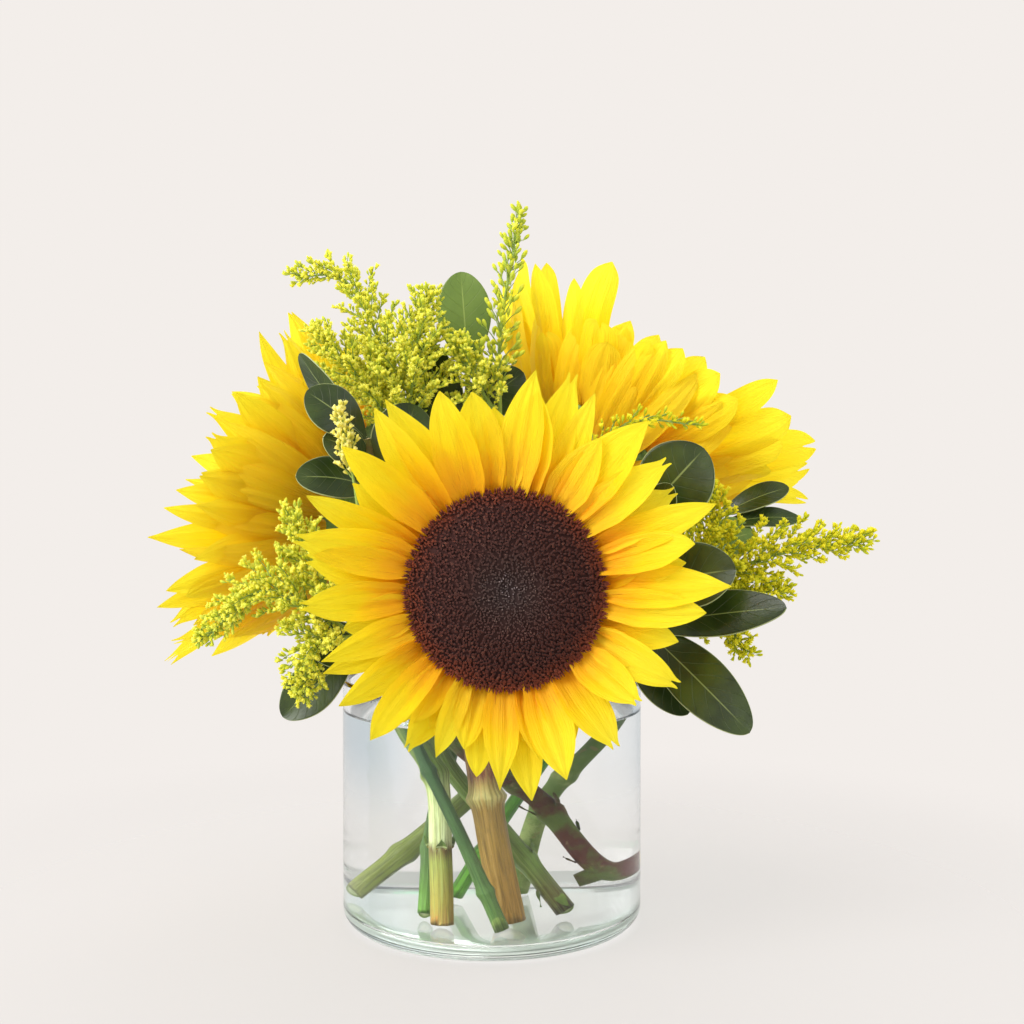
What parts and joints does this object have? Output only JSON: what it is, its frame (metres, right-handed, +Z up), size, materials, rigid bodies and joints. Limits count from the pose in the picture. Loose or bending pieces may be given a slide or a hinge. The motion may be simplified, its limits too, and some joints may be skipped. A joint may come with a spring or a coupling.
{
  "type": "sunflowers in a glass vase",
  "caption": "Cut sunflowers with goldenrod and leafy branches, standing in a clear straight-sided glass cylinder vase filled with water.",
  "frame": {"origin": "centre of the vase's underside, on the surface it stands on", "axes": "+Z up along the vase's axis, -Y towards the front bloom, +X to the right as seen from the front"},
  "size_m": [0.2709, 0.1988, 0.2713],
  "materials": {
    "glass": "clear polished glass with a faint green-grey edge",
    "water": "clear still water",
    "petal": "soft satin yellow petal, warmer towards its base",
    "disc": "matt dark brown florets",
    "stem": "satin green stem and bracts",
    "goldenrod": "matt yellow-green florets on thin green stalks",
    "leaf": "smooth dark green leaf with a pale rib and edge"
  },
  "bodies": {
    "root": {"vase": "glass", "water": "water", "sunflower_front_petals": "petal", "sunflower_left_petals": "petal", "sunflower_right_petals": "petal", "sunflower_front_disc": "disc", "sunflower_left_disc": "disc", "sunflower_right_disc": "disc", "sunflower_front_stem": "stem", "sunflower_left_stem": "stem", "sunflower_right_stem": "stem", "goldenrod_left": "goldenrod", "goldenrod_top": "goldenrod", "goldenrod_centre": "goldenrod", "goldenrod_right": "goldenrod", "leafy_branch_left": "leaf", "leafy_branch_right": "leaf"}
  },
  "joints": []
}
